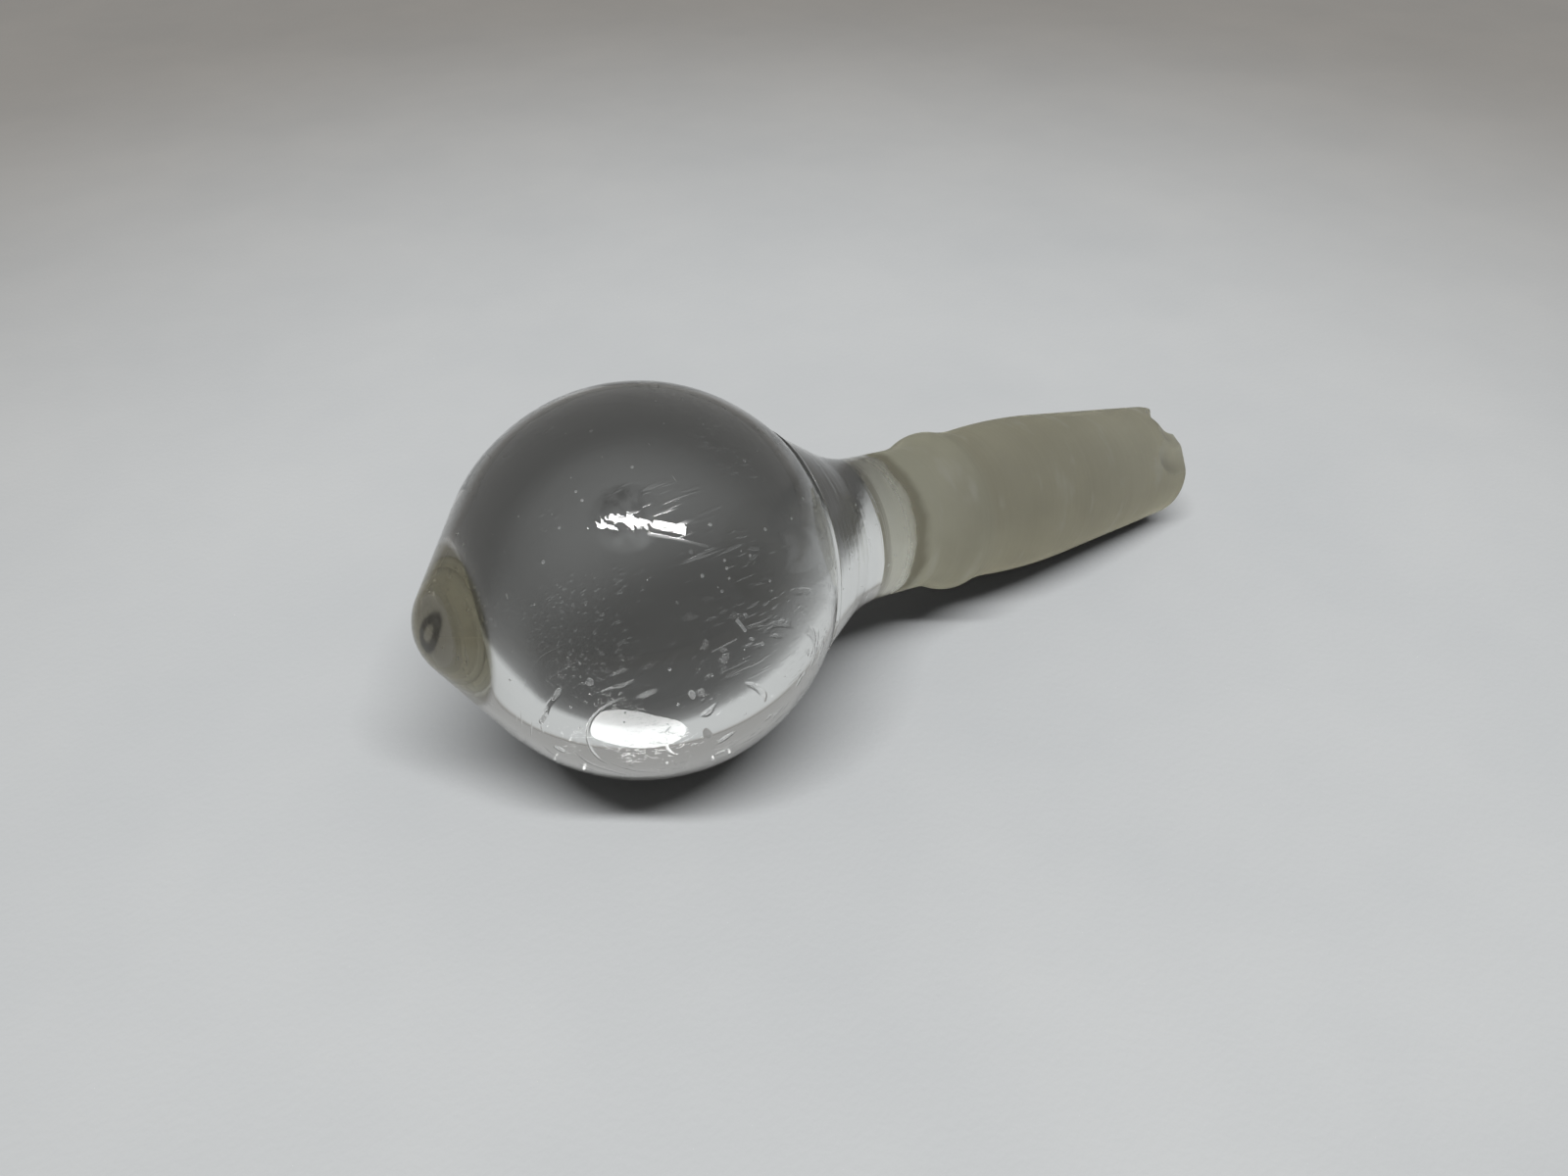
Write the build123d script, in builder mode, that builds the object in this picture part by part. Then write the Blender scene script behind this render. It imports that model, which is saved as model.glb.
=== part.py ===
"""Solid glass stopper: a ball head with a blunt point, a drawn neck and a ground plug with a broken end.

Millimetres, +Z up. The stopper lies as it rests: the ball and two corners of the broken rim touch Z = 0,
and the plug points along +X. The origin is under the middle of its box.
"""

from build123d import *
import os
from math import asin, atan2, cos, degrees, hypot, pi, radians, sin, sqrt, tan

os.makedirs("parts", exist_ok=True)

# Head
ball_radius = 20.0
nose_height = 3.4  # how far the point stands out of the ball
nose_radius = 5.9  # rounding of the point

# Neck
crease_radius = 13.8  # ring where the shoulder meets the ball
shoulder_angle = 31.0  # slope of the shoulder to the axis
flare_radius = 13.8  # hollow between the shoulder and the neck
neck_radius = 8.15
neck_length = 5.4  # straight stretch between the flare and the collar

# Collar and ground plug
collar_rise_length = 5.2
collar_height = 0.5  # collar over the waist
collar_fall_length = 4.1
belly_length = 7.5  # waist to the widest ring of the plug
belly_height = 0.35  # widest ring over the waist
plug_radius = 9.2
plug_taper = 5.0  # half angle of the ground taper
plug_length = 25.8  # widest ring to the broken end

# Broken end
foot_angle = 12.0  # the end rests on two rim corners, this far each side of the lowest point
foot_scoop = 2.5
face_scoop = 13.0  # shell-shaped hollow over the whole end face
face_depth = 1.3
face_offset = 1.6
# Rim chips: angle round the axis from the lowest point towards -Y, scoop radius, bite
rim_chips = [
    (172.0, 2.9, 2.1),
    (127.0, 16.0, 0.6),
    (-66.0, 9.0, 0.5),
    (-131.0, 4.0, 0.8),
]

# Places along the axis are measured from the ball's centre.
# The cone of the point touches both the ball and the rounded nose.
nose_reach = ball_radius + nose_height
nose_at = nose_reach - nose_radius
cone_angle = asin((ball_radius - nose_radius) / nose_at)
cone_on_nose = (-nose_at - nose_radius * sin(cone_angle), nose_radius * cos(cone_angle))
cone_on_ball = (-ball_radius * sin(cone_angle), ball_radius * cos(cone_angle))
nose_middle = (pi / 2 - cone_angle) / 2
nose_mid_point = (-nose_at - nose_radius * cos(nose_middle), nose_radius * sin(nose_middle))

# The shoulder leaves the ball at the crease, runs straight, then hollows into the neck
crease_at = sqrt(ball_radius**2 - crease_radius**2)
shoulder = radians(shoulder_angle)
flare_drop = flare_radius * (1 - cos(shoulder))
flare_start_radius = neck_radius + flare_drop
flare_start = crease_at + (crease_radius - flare_start_radius) / tan(shoulder)
flare_end = flare_start + flare_radius * sin(shoulder)

# Collar, waist, widest ring and broken end
swell_at = flare_end + neck_length
collar_at = swell_at + collar_rise_length
waist_at = collar_at + collar_fall_length
belly_at = waist_at + belly_length
end_at = belly_at + plug_length
waist_radius = plug_radius - belly_height
collar_radius = waist_radius + collar_height

# Each swelling is two arcs that meet where the slope turns, at this share of its length
rise_turn = 0.7
fall_turn = 0.2
belly_turn = 0.17

# The belly's arc runs on past the widest ring until it meets the ground taper
taper = radians(plug_taper)
belly_curve = (1 - belly_turn) * (belly_length**2 + belly_height**2) / (2 * belly_height)
taper_at = belly_at + belly_curve * sin(taper)
taper_radius = plug_radius - belly_curve * (1 - cos(taper))
end_radius = taper_radius - (end_at - taper_at) * tan(taper)

# Lying pose: the ball and the two foot corners are at the same height
foot_drop = end_radius * cos(radians(foot_angle))
dip = asin(ball_radius / hypot(end_at, foot_drop)) - atan2(foot_drop, end_at)
nose_x = -nose_at * cos(dip) - nose_radius
end_x = end_at * cos(dip) + end_radius * sin(dip)
lying = Plane(
    origin=(-(nose_x + end_x) / 2, 0, ball_radius),
    x_dir=(cos(dip), 0, -sin(dip)),
    z_dir=(0, -1, 0),
)


def swelling(start, end, turn):
    """Two tangent arcs from one ring to the next, both level at their outer ends."""
    middle = (start[0] + turn * (end[0] - start[0]), start[1] + turn * (end[1] - start[1]))
    first = TangentArc(start, middle, tangent=(1, 0))
    TangentArc(middle, end, tangent=first % 1)


def rim_scoop(angle, radius, distance):
    """A ball-shaped bite centred in the end plane, at a distance from the axis."""
    turn = radians(angle)
    with Locations((end_at, -distance * cos(turn), distance * sin(turn))):
        Sphere(radius, mode=Mode.SUBTRACT)


with BuildPart(lying) as stopper:
    with BuildSketch(lying):
        with BuildLine():
            ThreePointArc((-nose_reach, 0), nose_mid_point, cone_on_nose)
            Line(cone_on_nose, cone_on_ball)
            ThreePointArc(cone_on_ball, (0, ball_radius), (crease_at, crease_radius))
            Line((crease_at, crease_radius), (flare_start, flare_start_radius))
            TangentArc(
                (flare_start, flare_start_radius),
                (flare_end, neck_radius),
                tangent=(cos(shoulder), -sin(shoulder)),
            )
            Line((flare_end, neck_radius), (swell_at, neck_radius))
            swelling((swell_at, neck_radius), (collar_at, collar_radius), rise_turn)
            swelling((collar_at, collar_radius), (waist_at, waist_radius), fall_turn)
            swelling((waist_at, waist_radius), (belly_at, plug_radius), belly_turn)
            TangentArc((belly_at, plug_radius), (taper_at, taper_radius), tangent=(1, 0))
            Line((taper_at, taper_radius), (end_at, end_radius))
            Line((end_at, end_radius), (end_at, 0))
            Line((end_at, 0), (-nose_reach, 0))
        make_face()
    revolve(axis=Axis(lying.origin, lying.x_dir))

    with Locations((end_at + face_scoop - face_depth, face_offset, 0)):
        Sphere(face_scoop, mode=Mode.SUBTRACT)
    foot_side = end_radius * sin(radians(foot_angle))
    rim_scoop(0, foot_scoop, foot_drop + sqrt(foot_scoop**2 - foot_side**2))
    for angle, radius, bite in rim_chips:
        rim_scoop(angle, radius, end_radius + radius - bite)

stopper.part.label = "stopper"
export_step(stopper.part, "parts/stopper.step")

print("dip", round(degrees(dip), 2), "end radius", round(end_radius, 2), "end at", round(end_at, 2))
print("lowest point", round(stopper.part.bounding_box().min.Z, 4))
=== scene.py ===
from math import asin, atan2, atan, cos, degrees, hypot, pi, radians, sin, sqrt, tan

import bmesh
import bpy
from mathutils import Matrix, Quaternion, Vector, noise


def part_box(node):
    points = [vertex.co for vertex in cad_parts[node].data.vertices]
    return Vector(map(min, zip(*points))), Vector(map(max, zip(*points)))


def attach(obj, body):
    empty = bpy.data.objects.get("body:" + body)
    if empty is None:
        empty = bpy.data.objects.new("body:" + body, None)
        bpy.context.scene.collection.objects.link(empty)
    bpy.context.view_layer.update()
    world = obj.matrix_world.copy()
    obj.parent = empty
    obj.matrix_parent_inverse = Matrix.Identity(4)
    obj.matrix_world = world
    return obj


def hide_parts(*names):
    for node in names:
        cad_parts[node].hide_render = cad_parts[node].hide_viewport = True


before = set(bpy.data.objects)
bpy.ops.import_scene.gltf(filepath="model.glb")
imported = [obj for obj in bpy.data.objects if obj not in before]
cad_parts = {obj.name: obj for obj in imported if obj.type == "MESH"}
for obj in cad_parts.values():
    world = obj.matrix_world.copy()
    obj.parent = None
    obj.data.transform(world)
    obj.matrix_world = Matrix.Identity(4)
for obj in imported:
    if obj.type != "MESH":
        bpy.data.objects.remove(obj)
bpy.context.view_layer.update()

scene = bpy.context.scene
low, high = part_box("stopper")
mm = 0.001


# Sizes in millimetres, along the axis from the ball's centre
glass = dict(
    ball=20.0,
    noseHeight=3.4,
    noseRound=5.9,
    creaseRadius=13.8,
    shoulderAngle=31.0,
    flareRound=13.8,
    neck=8.15,
    neckLength=5.4,
    collarRise=5.2,
    collarHeight=0.5,
    collarFall=4.1,
    bellyLength=7.5,
    bellyHeight=0.35,
    plug=9.2,
    taper=5.0,
    plugLength=25.8,
    footAngle=12.0,
    footScoop=2.5,
    riseTurn=0.7,
    fallTurn=0.2,
    bellyTurn=0.17,
    around=224,
    creaseRidge=0.14,
)
rimChips = [(172.0, 2.9, 2.1), (127.0, 16.0, 0.6), (-66.0, 9.0, 0.5), (-131.0, 4.0, 0.8), (150.0, 6.0, 0.9)]
faceHollow = dict(radius=13.0, depth=1.3, offset=1.6)
uneven = dict(scale=110.0, height=0.07, seed=(3.1, 7.4, 1.2))


def arcPoints(centre, radius, start, end, steps):
    # angles in degrees, measured at the arc's own centre
    points = []
    for i in range(1, steps + 1):
        angle = radians(start + (end - start) * i / steps)
        points.append((centre[0] + radius * cos(angle), centre[1] + radius * sin(angle)))
    return points


def linePoints(start, end, steps):
    return [
        (start[0] + (end[0] - start[0]) * i / steps, start[1] + (end[1] - start[1]) * i / steps)
        for i in range(1, steps + 1)
    ]


def swellingPoints(start, end, turn, steps):
    # two tangent arcs, level at both outer ends
    run, rise = end[0] - start[0], end[1] - start[1]
    side = 1 if rise > 0 else -1
    whole = (run**2 + rise**2) / (2 * abs(rise))
    sweep = degrees(2 * atan(abs(rise) / run))
    first, second = turn * whole, (1 - turn) * whole
    firstSteps = max(3, round(steps * turn))
    low = arcPoints((start[0], start[1] + side * first), first, -90 * side, side * (sweep - 90), firstSteps)
    high = arcPoints(
        (end[0], end[1] - side * second), second, side * (90 + sweep), side * 90, steps - firstSteps
    )
    return low + high


def creasePoints(points, height):
    # the gathered lip where the shoulder meets the ball: a low ridge between two fine hollows
    x, r = points.pop()
    return [(x + 0.0, r - 0.4 * height), (x + 0.22, r - 0.05 + height), (x + 0.42, r - 0.2 - 0.3 * height)]


def glassProfile(g):
    noseAt = g["ball"] + g["noseHeight"] - g["noseRound"]
    cone = asin((g["ball"] - g["noseRound"]) / noseAt)
    creaseAt = sqrt(g["ball"] ** 2 - g["creaseRadius"] ** 2)
    shoulder = radians(g["shoulderAngle"])
    flareStartRadius = g["neck"] + g["flareRound"] * (1 - cos(shoulder))
    flareStart = creaseAt + (g["creaseRadius"] - flareStartRadius) / tan(shoulder)
    flareEnd = flareStart + g["flareRound"] * sin(shoulder)
    swellAt = flareEnd + g["neckLength"]
    collarAt = swellAt + g["collarRise"]
    waistAt = collarAt + g["collarFall"]
    bellyAt = waistAt + g["bellyLength"]
    endAt = bellyAt + g["plugLength"]
    waist = g["plug"] - g["bellyHeight"]
    collar = waist + g["collarHeight"]
    taper = radians(g["taper"])
    bellyCurve = (1 - g["bellyTurn"]) * (g["bellyLength"] ** 2 + g["bellyHeight"] ** 2) / (2 * g["bellyHeight"])
    taperAt = bellyAt + bellyCurve * sin(taper)
    taperRadius = g["plug"] - bellyCurve * (1 - cos(taper))
    endRadius = taperRadius - (endAt - taperAt) * tan(taper)

    points = [(-noseAt - g["noseRound"], 0.0)]
    points += arcPoints((-noseAt, 0), g["noseRound"], 180, 90 + degrees(cone), 16)
    coneOnBall = (-g["ball"] * sin(cone), g["ball"] * cos(cone))
    points += linePoints(points[-1], coneOnBall, 22)
    creaseAngle = degrees(atan2(g["creaseRadius"], creaseAt))
    points += arcPoints((0, 0), g["ball"], 90 + degrees(cone), creaseAngle, 90)
    points += creasePoints(points, g["creaseRidge"])
    points += linePoints(points[-1], (flareStart, flareStartRadius), 14)
    points += arcPoints(
        (flareEnd, g["neck"] + g["flareRound"]), g["flareRound"], -90 - g["shoulderAngle"], -90, 18
    )
    points += linePoints(points[-1], (swellAt, g["neck"]), 8)
    points += swellingPoints((swellAt, g["neck"]), (collarAt, collar), g["riseTurn"], 20)
    points += swellingPoints((collarAt, collar), (waistAt, waist), g["fallTurn"], 14)
    points += swellingPoints((waistAt, waist), (bellyAt, g["plug"]), g["bellyTurn"], 14)
    points += arcPoints((bellyAt, g["plug"] - bellyCurve), bellyCurve, 90, 90 - g["taper"], 8)
    points += linePoints(points[-1], (endAt - 6, endRadius + 6 * tan(taper)), 16)
    points += linePoints(points[-1], (endAt, endRadius), 30)
    points += linePoints(points[-1], (endAt, 0.0), 36)
    return points, dict(
        noseAt=noseAt, creaseAt=creaseAt, flareStart=flareStart, flareEnd=flareEnd, swellAt=swellAt,
        collarAt=collarAt, waistAt=waistAt, bellyAt=bellyAt, endAt=endAt, endRadius=endRadius,
    )


profile, at = glassProfile(glass)
footDrop = at["endRadius"] * cos(radians(glass["footAngle"]))
dip = asin(glass["ball"] / hypot(at["endAt"], footDrop)) - atan2(footDrop, at["endAt"])
ballX = low[0] + (at["noseAt"] * cos(dip) + glass["noseRound"]) * mm
ballCentre = Vector((ballX, 0.0, glass["ball"] * mm))
lay = Matrix.Translation(ballCentre) @ Matrix.Rotation(dip, 4, "Y")
print("profile of", len(profile), "points, dip", round(degrees(dip), 2))


def scoop(mesh, broken, centre, radius):
    # a shell-shaped bite: what lies inside the ball is pressed out to its skin
    for vert in mesh.verts:
        out = vert.co - centre
        if out.length < radius:
            vert.co = centre + out.normalized() * radius
            vert[broken] = 1.0


def buildStopper():
    mesh = bmesh.new()
    broken = mesh.verts.layers.float.new("broken")
    verts = [mesh.verts.new((x * mm, 0.0, r * mm)) for x, r in profile]
    for a, b in zip(verts, verts[1:]):
        mesh.edges.new((a, b))
    bmesh.ops.spin(
        mesh, geom=mesh.verts[:] + mesh.edges[:], cent=(0, 0, 0), axis=(1, 0, 0), angle=2 * pi,
        steps=glass["around"], use_merge=True,
    )
    bmesh.ops.remove_doubles(mesh, verts=mesh.verts, dist=0.00001)
    bmesh.ops.recalc_face_normals(mesh, faces=mesh.faces)

    # hand-shaped glass is never quite round
    mesh.normal_update()
    for vert in mesh.verts:
        along = vert.co.x / mm
        free = min(1.0, max(0.0, (at["collarAt"] - along) / 6)) * min(1.0, max(0.0, (along + at["noseAt"] + 4) / 6))
        push = noise.noise(vert.co * uneven["scale"] + Vector(uneven["seed"])) - 0.35
        vert.co += vert.normal * push * uneven["height"] * mm * free

    endX = at["endAt"] * mm
    rimVerts = [v for v in mesh.verts if abs(v.co.x - endX) < 0.00001]
    for vert in rimVerts:
        vert[broken] = 1.0
    hollow = faceHollow["radius"] * mm
    scoop(mesh, broken, Vector((endX + hollow - faceHollow["depth"] * mm, 0, faceHollow["offset"] * mm)), hollow)
    foot = glass["footScoop"]
    footSide = at["endRadius"] * sin(radians(glass["footAngle"]))
    chips = [(0.0, foot, footDrop + sqrt(foot**2 - footSide**2))]
    chips += [(angle, size, at["endRadius"] + size - bite) for angle, size, bite in rimChips]
    for angle, size, distance in chips:
        turn = radians(angle)
        centre = Vector((endX, -distance * sin(turn) * mm, -distance * cos(turn) * mm))
        scoop(mesh, broken, centre, size * mm)
    worn = [v for v in mesh.verts if v.co.x > endX - 4.5 * mm and v.co.z > -5.5 * mm]
    for _ in range(16):
        bmesh.ops.smooth_vert(mesh, verts=worn, factor=0.5, use_axis_x=True, use_axis_y=True, use_axis_z=True)

    bmesh.ops.transform(mesh, matrix=lay, verts=mesh.verts)
    bmesh.ops.recalc_face_normals(mesh, faces=mesh.faces)
    for face in mesh.faces:
        face.smooth = True
    for edge in mesh.edges:
        nearEnd = (lay.inverted() @ edge.verts[0].co).x > endX - 4 * mm
        if nearEnd and edge.calc_face_angle(0) > radians(32):
            edge.smooth = False
    data = bpy.data.meshes.new("glassStopper")
    mesh.to_mesh(data)
    mesh.free()
    piece = bpy.data.objects.new("glassStopper", data)
    scene.collection.objects.link(piece)
    return piece


stopper = buildStopper()
print("stopper has", len(stopper.data.polygons), "faces")


def wire(links, source, target):
    links.new(source, target)


def newGroup(name, inputs, outputs):
    tree = bpy.data.node_groups.new(name, "ShaderNodeTree")
    for label, kind, value in inputs:
        socket = tree.interface.new_socket(label, in_out="INPUT", socket_type=kind)
        if value is not None:
            socket.default_value = value
    for label, kind in outputs:
        tree.interface.new_socket(label, in_out="OUTPUT", socket_type=kind)
    return tree, tree.nodes.new("NodeGroupInput"), tree.nodes.new("NodeGroupOutput")


def mathNode(tree, operation, a, b=None, clamp=False):
    node = tree.nodes.new("ShaderNodeMath")
    node.operation = operation
    node.use_clamp = clamp
    for socket, value in zip(node.inputs, (a, b)):
        if value is None:
            continue
        if isinstance(value, (int, float)):
            socket.default_value = value
        else:
            tree.links.new(value, socket)
    return node.outputs[0]


def vectorNode(tree, operation, a, b=None, output="Vector"):
    node = tree.nodes.new("ShaderNodeVectorMath")
    node.operation = operation
    for socket, value in zip(node.inputs, (a, b)):
        if value is None:
            continue
        if isinstance(value, (tuple, Vector)):
            socket.default_value = value
        else:
            tree.links.new(value, socket)
    return node.outputs[output]


def rangeNode(tree, value, low, high, start=0.0, end=1.0, smooth=True):
    node = tree.nodes.new("ShaderNodeMapRange")
    if smooth:
        node.interpolation_type = "SMOOTHSTEP"
    for label, number in (("From Min", low), ("From Max", high), ("To Min", start), ("To Max", end)):
        if isinstance(number, (int, float)):
            node.inputs[label].default_value = number
        else:
            tree.links.new(number, node.inputs[label])
    tree.links.new(value, node.inputs["Value"])
    return node.outputs["Result"]


def noiseNode(tree, place, scale, detail=0.0, rough=0.5):
    node = tree.nodes.new("ShaderNodeTexNoise")
    node.inputs["Scale"].default_value = scale
    node.inputs["Detail"].default_value = detail
    node.inputs["Roughness"].default_value = rough
    tree.links.new(place, node.inputs["Vector"])
    return node.outputs["Fac"]


def mixColour(tree, factor, first, second, blend="MIX"):
    node = tree.nodes.new("ShaderNodeMix")
    node.data_type = "RGBA"
    node.blend_type = blend
    for label, value in (("Factor", factor), ("A", first), ("B", second)):
        socket = next(s for s in node.inputs if s.name == label and s.enabled)
        if isinstance(value, (tuple, float, int)):
            socket.default_value = value
        else:
            tree.links.new(value, socket)
    return next(s for s in node.outputs if s.enabled)


def stretched(tree, place, turn, scale):
    node = tree.nodes.new("ShaderNodeMapping")
    node.inputs["Scale"].default_value = scale
    if isinstance(turn, tuple):
        node.inputs["Rotation"].default_value = turn
    else:
        tree.links.new(turn, node.inputs["Rotation"])
    tree.links.new(place, node.inputs["Vector"])
    return node.outputs["Vector"]


def hairlineGroup():
    # short straight scratches all lying one way
    tree, given, made = newGroup(
        "hairlines",
        [("Place", "NodeSocketVector", None), ("Turn", "NodeSocketVector", None), ("Few", "NodeSocketFloat", 0.7)],
        [("Mask", "NodeSocketFloat")],
    )
    longWays = stretched(tree, given.outputs["Place"], given.outputs["Turn"], (190, 3000, 3000))
    fibre = noiseNode(tree, longWays, 1.0)
    limit = mathNode(tree, "ADD", given.outputs["Few"], 0.07)
    tree.links.new(rangeNode(tree, fibre, given.outputs["Few"], limit), made.inputs["Mask"])
    return tree


def strokeGroup():
    # one stroke from point to point
    tree, given, made = newGroup(
        "stroke",
        [("Place", "NodeSocketVector", None), ("From", "NodeSocketVector", None), ("To", "NodeSocketVector", None),
         ("Width", "NodeSocketFloat", 0.0001)],
        [("Mask", "NodeSocketFloat")],
    )
    offset = vectorNode(tree, "SUBTRACT", given.outputs["Place"], given.outputs["From"])
    run = vectorNode(tree, "SUBTRACT", given.outputs["To"], given.outputs["From"])
    dotted = vectorNode(tree, "DOT_PRODUCT", offset, run, "Value")
    whole = vectorNode(tree, "DOT_PRODUCT", run, run, "Value")
    share = mathNode(tree, "DIVIDE", dotted, whole, clamp=True)
    scaled = tree.nodes.new("ShaderNodeVectorMath")
    scaled.operation = "SCALE"
    tree.links.new(run, scaled.inputs[0])
    tree.links.new(share, scaled.inputs["Scale"])
    away = vectorNode(tree, "DISTANCE", offset, scaled.outputs["Vector"], "Value")
    half = mathNode(tree, "MULTIPLY", given.outputs["Width"], 0.5)
    near = rangeNode(tree, away, half, given.outputs["Width"], 1.0, 0.0)
    tree.links.new(near, made.inputs["Mask"])
    return tree


def dustGroup():
    tree, given, made = newGroup(
        "dust",
        [("Place", "NodeSocketVector", None), ("Spacing", "NodeSocketFloat", 700.0), ("Speck", "NodeSocketFloat", 0.07)],
        [("Mask", "NodeSocketFloat")],
    )
    cells = tree.nodes.new("ShaderNodeTexVoronoi")
    tree.links.new(given.outputs["Place"], cells.inputs["Vector"])
    tree.links.new(given.outputs["Spacing"], cells.inputs["Scale"])
    tint = tree.nodes.new("ShaderNodeSeparateColor")
    tree.links.new(cells.outputs["Color"], tint.inputs["Color"])
    size = mathNode(tree, "MULTIPLY", tint.outputs["Red"], given.outputs["Speck"])
    edge = mathNode(tree, "MULTIPLY", size, 1.6)
    speck = rangeNode(tree, cells.outputs["Distance"], size, edge, 1.0, 0.0)
    chosen = mathNode(tree, "GREATER_THAN", tint.outputs["Green"], 0.4)
    tree.links.new(mathNode(tree, "MULTIPLY", speck, chosen), made.inputs["Mask"])
    return tree


def useGroup(tree, group, output, **values):
    node = tree.nodes.new("ShaderNodeGroup")
    node.node_tree = group
    for label, value in values.items():
        if isinstance(value, (tuple, float, int, Vector)):
            node.inputs[label].default_value = value
        else:
            tree.links.new(value, node.inputs[label])
    return node.outputs[output]


def newMaterial(name):
    material = bpy.data.materials.new(name)
    material.use_nodes = True
    tree = material.node_tree
    return material, tree, tree.nodes["Principled BSDF"]


# Marks on the ball: from, to, width and strength, in millimetres from the ball's centre
strokes = [
    ((-0.3, -4.8, 19.4), (0.0, -9.2, 17.8), 0.07, 0.5),
    ((0.4, -18.2, 8.3), (0.9, -18.6, 7.2), 0.22, 0.9),
    ((-2.5, -18.7, 6.5), (-0.1, -18.8, 6.8), 0.12, 0.6),
    ((-1.6, -19.0, 5.9), (2.4, -19.1, 5.4), 0.10, 0.7),
    ((-0.7, -14.4, 13.9), (4.1, -14.2, 13.5), 0.06, 0.4),
    ((0.8, -15.8, 12.3), (6.4, -15.2, 11.4), 0.06, 0.4),
    ((-6.8, 3.0, 18.6), (-6.0, 3.0, 18.8), 0.12, 0.9),
    ((-4.3, -11.8, 15.6), (0.0, -14.2, 14.1), 0.18, 0.4),
]


def glassMaterial():
    material, tree, shader = newMaterial("oldStopperGlass")
    shader.inputs["Transmission Weight"].default_value = 1.0
    shader.inputs["IOR"].default_value = 1.52
    hairlines, stroke, dust = hairlineGroup(), strokeGroup(), dustGroup()

    where = tree.nodes.new("ShaderNodeTexCoord")
    place = vectorNode(tree, "SUBTRACT", where.outputs["Object"], ballCentre)
    lengthways = tree.nodes.new("ShaderNodeMapping")
    lengthways.vector_type = "TEXTURE"
    lengthways.inputs["Rotation"].default_value = (0, dip, 0)
    tree.links.new(place, lengthways.inputs["Vector"])
    ownPlace = lengthways.outputs["Vector"]
    split = tree.nodes.new("ShaderNodeSeparateXYZ")
    tree.links.new(ownPlace, split.inputs["Vector"])
    along = split.outputs["X"]

    edgeWander = rangeNode(tree, noiseNode(tree, place, 260, 2), 0.3, 0.7, -0.0004, 0.0004, smooth=False)
    alongEdge = mathNode(tree, "ADD", along, edgeWander)
    ground = rangeNode(tree, alongEdge, look["groundAt"] * mm, (look["groundAt"] + 0.5) * mm)
    polished = mathNode(tree, "SUBTRACT", 1.0, ground)
    brokenGlass = tree.nodes.new("ShaderNodeAttribute")
    brokenGlass.attribute_name = "broken"
    fracture = rangeNode(tree, brokenGlass.outputs["Fac"], 0.3, 0.8)

    # wear on the polished glass
    patches = rangeNode(tree, noiseNode(tree, place, 130, 1), 0.42, 0.62)
    lines = None
    for turn, few in (((0.2, 0.5, 0.35), 0.70), ((1.1, -0.4, -0.3), 0.71), ((0.4, 0.2, 1.2), 0.72)):
        more = useGroup(tree, hairlines, "Mask", Place=place, Turn=turn, Few=few)
        lines = more if lines is None else mathNode(tree, "MAXIMUM", lines, more)
    wear = mathNode(tree, "MULTIPLY", mathNode(tree, "MULTIPLY", lines, patches), 0.45)
    specks = useGroup(tree, dust, "Mask", Place=place, Spacing=800.0, Speck=0.12)
    wear = mathNode(tree, "MAXIMUM", wear, mathNode(tree, "MULTIPLY", specks, 0.8))
    for start, end, width, strength in strokes:
        line = useGroup(
            tree, stroke, "Mask", Place=place, From=Vector(start) * mm, To=Vector(end) * mm, Width=width * mm
        )
        wear = mathNode(tree, "MAXIMUM", wear, mathNode(tree, "MULTIPLY", line, strength))
    wear = mathNode(tree, "MULTIPLY", wear, polished)

    # grinding marks run round the plug
    rings = noiseNode(tree, stretched(tree, ownPlace, (0, 0, 0), (2600, 90, 90)), 1.0, 2)
    grain = noiseNode(tree, place, 2400, 2)
    worn = rangeNode(tree, noiseNode(tree, stretched(tree, ownPlace, (0, 0, 0), (330, 120, 120)), 1.0, 3), 0.56, 0.72)
    cloud = noiseNode(tree, place, 70, 3)

    groundRough = rangeNode(tree, rings, 0.35, 0.65, look["groundRough"] - 0.06, look["groundRough"] + 0.06, False)
    groundRough = mathNode(tree, "SUBTRACT", groundRough, mathNode(tree, "MULTIPLY", worn, 0.12))
    rough = mathNode(tree, "MULTIPLY", ground, groundRough)
    freshRough = mathNode(tree, "MULTIPLY", fracture, mathNode(tree, "SUBTRACT", rough, look["freshRough"]))
    rough = mathNode(tree, "SUBTRACT", rough, freshRough)
    rough = mathNode(tree, "MAXIMUM", rough, mathNode(tree, "MULTIPLY", wear, 0.6), clamp=True)
    tree.links.new(rough, shader.inputs["Roughness"])

    band = tree.nodes.new("ShaderNodeValToRGB")
    stops = [
        (28.6, look["clear"]), (29.1, look["darkRing"]), (30.2, look["darkRing"]), (31.4, look["paleRing"]),
        (38.5, look["paleRing"]), (40.5, look["plug"]), (70.0, look["plug"]),
    ]
    reach = 80.0
    ramp = band.color_ramp
    while len(ramp.elements) < len(stops):
        ramp.elements.new(0.5)
    for element, (spot, colour) in zip(ramp.elements, stops):
        element.position = spot / reach
        element.color = colour
    tree.links.new(mathNode(tree, "DIVIDE", alongEdge, reach * mm), band.inputs["Fac"])
    colour = mixColour(tree, mathNode(tree, "MULTIPLY", rangeNode(tree, cloud, 0.35, 0.68), ground),
                       band.outputs["Color"], look["smudge"], "MULTIPLY")
    colour = mixColour(tree, mathNode(tree, "MULTIPLY", mathNode(tree, "MULTIPLY", worn, ground), 0.55),
                       colour, look["pale"])
    colour = mixColour(tree, mathNode(tree, "MULTIPLY", fracture, 0.7), colour, look["fresh"])
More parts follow.
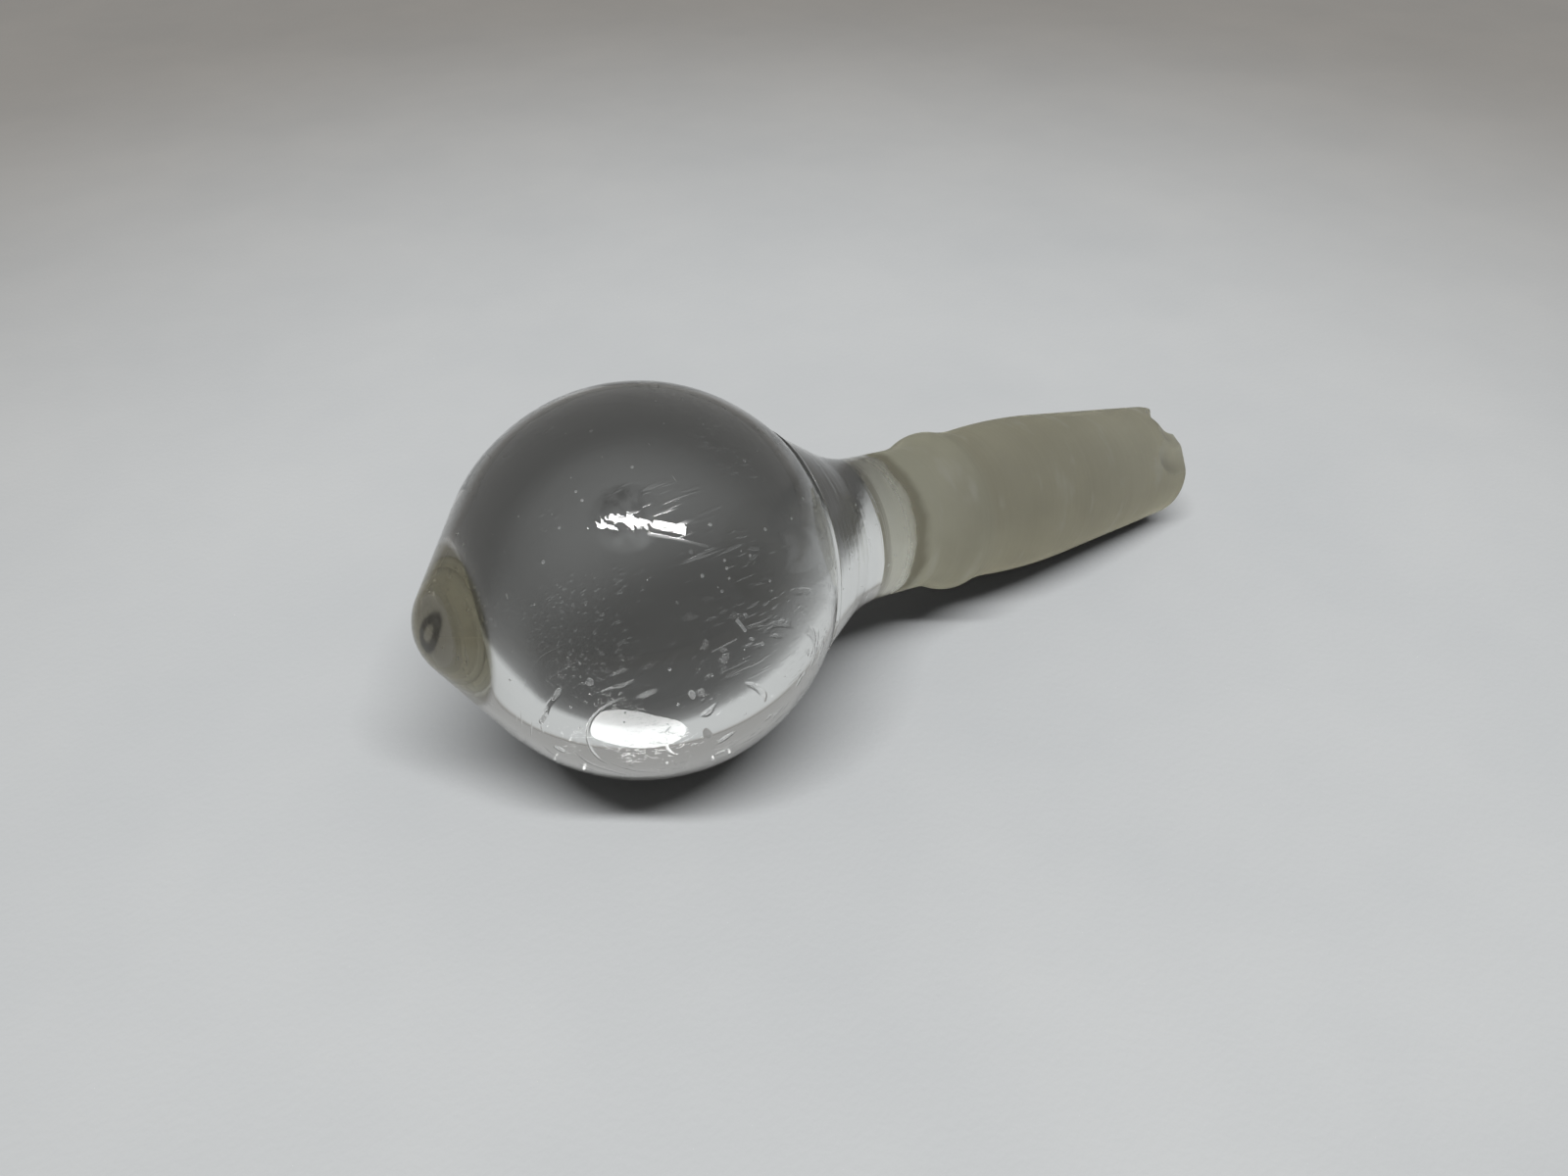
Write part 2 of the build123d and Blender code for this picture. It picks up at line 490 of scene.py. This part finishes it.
    # painted shade: the drawn-out point is painted a dark olive, with a darker painted ring round its very end,
    # standing in for the shaded plug and floor seen through it
    tipShadePaint = rangeNode(tree, along, -19.3 * mm, -18.8 * mm, 1.0, 0.0)
    colour = mixColour(tree, tipShadePaint, colour, look["tipShadePaint"], "MULTIPLY")
    fromShadowRing = vectorNode(tree, "SUBTRACT", ownPlace, Vector(look["tipShadowRingAt"]) * mm)
    oval = Vector((0.0, 1 / look["tipShadowRingHalf"][0], 1 / look["tipShadowRingHalf"][1])) / mm
    across = vectorNode(tree, "LENGTH", vectorNode(tree, "MULTIPLY", fromShadowRing, oval), output="Value")
    shadowRing = mathNode(tree, "MULTIPLY", rangeNode(tree, across, 0.2, 0.5), rangeNode(tree, across, 0.8, 1.1, 1.0, 0.0))
    colour = mixColour(tree, mathNode(tree, "MULTIPLY", shadowRing, tipShadePaint), colour, look["tipShadowRingPaint"], "MULTIPLY")
    tree.links.new(colour, shader.inputs["Base Color"])

    # relief: flow lines in the neck, grinding, a scuffed spot on the ball
    flow = noiseNode(tree, stretched(tree, ownPlace, (0, 0, 0), (1500, 60, 60)), 1.0, 2)
    onNeck = mathNode(tree, "MULTIPLY", rangeNode(tree, along, 13.5 * mm, 16.5 * mm), polished)
    relief = mathNode(tree, "MULTIPLY", mathNode(tree, "MULTIPLY", flow, onNeck), look["flowHeight"])
    groundRelief = mathNode(tree, "ADD", mathNode(tree, "MULTIPLY", rings, 0.6), mathNode(tree, "MULTIPLY", grain, 0.4))
    groundRelief = mathNode(tree, "MULTIPLY", groundRelief, mathNode(tree, "MULTIPLY", ground, look["grindHeight"]))
    relief = mathNode(tree, "ADD", relief, groundRelief)
    scuffAway = vectorNode(tree, "DISTANCE", place, Vector(look["scuff"]) * mm, "Value")
    scuff = rangeNode(tree, scuffAway, 1.2 * mm, 3.3 * mm, 1.0, 0.0)
    ripple = noiseNode(tree, stretched(tree, place, (0, 0, 0), (900, 350, 350)), 1.0, 1)
    relief = mathNode(tree, "ADD", relief, mathNode(tree, "MULTIPLY", mathNode(tree, "MULTIPLY", ripple, scuff),
                                                    look["scuffHeight"]))
    relief = mathNode(tree, "ADD", relief, mathNode(tree, "MULTIPLY", wear, look["wearHeight"]))
    bump = tree.nodes.new("ShaderNodeBump")
    bump.inputs["Strength"].default_value = 1.0
    bump.inputs["Distance"].default_value = mm
    tree.links.new(relief, bump.inputs["Height"])
    tree.links.new(bump.outputs["Normal"], shader.inputs["Normal"])
    return material


look = dict(
    groundAt=28.9,
    groundRough=0.8,
    freshRough=0.45,
    clear=(0.97, 0.98, 0.965, 1),
    # painted shade on the tip: dark olive, and a dark ring at its end, standing in for the shaded view through it
    tipShadePaint=(0.20, 0.185, 0.132, 1),
    tipShadowRingPaint=(0.12, 0.12, 0.13, 1),
    tipShadowRingAt=(0.0, -2.0, 1.5),
    tipShadowRingHalf=(1.2, 2.3),
    darkRing=(0.30, 0.28, 0.20, 1),
    paleRing=(0.76, 0.755, 0.63, 1),
    plug=(0.71, 0.685, 0.545, 1),
    smudge=(0.80, 0.79, 0.77, 1),
    pale=(0.86, 0.86, 0.80, 1),
    fresh=(0.70, 0.69, 0.58, 1),
    flowHeight=0.06,
    grindHeight=0.03,
    scuff=(-5.4, -9.8, 16.5),
    scuffHeight=0.17,
    wearHeight=0.01,
)
stopper.data.materials.append(glassMaterial())
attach(stopper, "root")
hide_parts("stopper")
print("glass is in")

# Floor: one pale sheet, with painted shade: darker, greyer and warmer further out, standing in for light falling off
# away from the lamp, then paler again at the rim
sheet = dict(half=3.0, near=(0.615, 0.63, 0.635, 1), far=(0.34, 0.325, 0.305, 1), rim=(0.56, 0.55, 0.53, 1))


def buildFloor():
    mesh = bmesh.new()
    bmesh.ops.create_grid(mesh, x_segments=2, y_segments=2, size=sheet["half"])
    data = bpy.data.meshes.new("paleSheet")
    mesh.to_mesh(data)
    mesh.free()
    piece = bpy.data.objects.new("paleSheet", data)
    scene.collection.objects.link(piece)

    material, tree, shader = newMaterial("paleSheetPaper")
    shader.inputs["Specular IOR Level"].default_value = 0.2
    where = tree.nodes.new("ShaderNodeTexCoord")
    place = where.outputs["Object"]
    out = vectorNode(tree, "LENGTH", place, output="Value")
    # painted shade: the sheet is painted darker and warmer from 6 to 30 cm out, as light falloff
    colour = mixColour(tree, rangeNode(tree, out, 0.06, 0.30), sheet["near"], sheet["far"])
    colour = mixColour(tree, rangeNode(tree, out, 0.4, 1.5), colour, sheet["rim"])
    mottle = rangeNode(tree, noiseNode(tree, place, 22, 4, 0.6), 0.3, 0.7, 0.0, 1.0, False)
    colour = mixColour(tree, mottle, colour, (0.93, 0.937, 0.945, 1), "MULTIPLY")
    tree.links.new(colour, shader.inputs["Base Color"])
    grain = noiseNode(tree, place, 1400, 2)
    tree.links.new(rangeNode(tree, grain, 0.3, 0.7, 0.7, 0.9, False), shader.inputs["Roughness"])
    bump = tree.nodes.new("ShaderNodeBump")
    bump.inputs["Distance"].default_value = 0.00004
    tree.links.new(grain, bump.inputs["Height"])
    tree.links.new(bump.outputs["Normal"], shader.inputs["Normal"])
    piece.data.materials.append(material)


buildFloor()

# Camera
view = dict(offset=(-37.36, -84.20, 77.30), pan=32.84, tilt=-40.70, lens=27.05)
cameraData = bpy.data.cameras.new("camera")
cameraData.lens = view["lens"]
cameraData.sensor_width = 36
cameraData.clip_start = 0.005
camera = bpy.data.objects.new("camera", cameraData)
camera.location = ballCentre + Vector(view["offset"]) * mm
camera.rotation_euler = (radians(90 + view["tilt"]), 0, radians(-view["pan"]))
scene.collection.objects.link(camera)
scene.camera = camera

# Light: one long strip overhead, and a weak even room
lamp = dict(distance=1.6, azimuth=-24.0, elevation=70.6, roll=-10.0, width=1.50, height=0.14, power=25.6)
lampData = bpy.data.lights.new("stripLamp", "AREA")
lampData.shape = "RECTANGLE"
lampData.size = lamp["width"]
lampData.size_y = lamp["height"]
lampData.energy = lamp["power"]
lampObject = bpy.data.objects.new("stripLamp", lampData)
a, e = radians(lamp["azimuth"]), radians(lamp["elevation"])
toLamp = Vector((sin(a) * cos(e), -cos(a) * cos(e), sin(e)))
lampObject.location = ballCentre + toLamp * lamp["distance"]
lampTurn = Quaternion((0, 0, 1), radians(lamp["roll"]))
lampObject.rotation_euler = (toLamp.to_track_quat("Z", "Y") @ lampTurn).to_euler()
scene.collection.objects.link(lampObject)

room = dict(light=0.13, seen=0.28)
world = bpy.data.worlds.new("room")
scene.world = world
world.use_nodes = True
tree = world.node_tree
background = tree.nodes["Background"]
background.inputs["Color"].default_value = (1.0, 0.985, 0.96, 1)
rays = tree.nodes.new("ShaderNodeLightPath")
seen = mathNode(tree, "MAXIMUM", rays.outputs["Is Camera Ray"], rays.outputs["Is Glossy Ray"])
seen = mathNode(tree, "MAXIMUM", seen, rays.outputs["Is Transmission Ray"])
tree.links.new(rangeNode(tree, seen, 0.0, 1.0, room["light"], room["seen"], False), background.inputs["Strength"])

scene.cycles.caustics_refractive = False
scene.cycles.caustics_reflective = False
scene.cycles.use_denoising = True
scene.cycles.max_bounces = 16
scene.cycles.transmission_bounces = 16
scene.view_settings.view_transform = "Standard"
print("light and camera set")
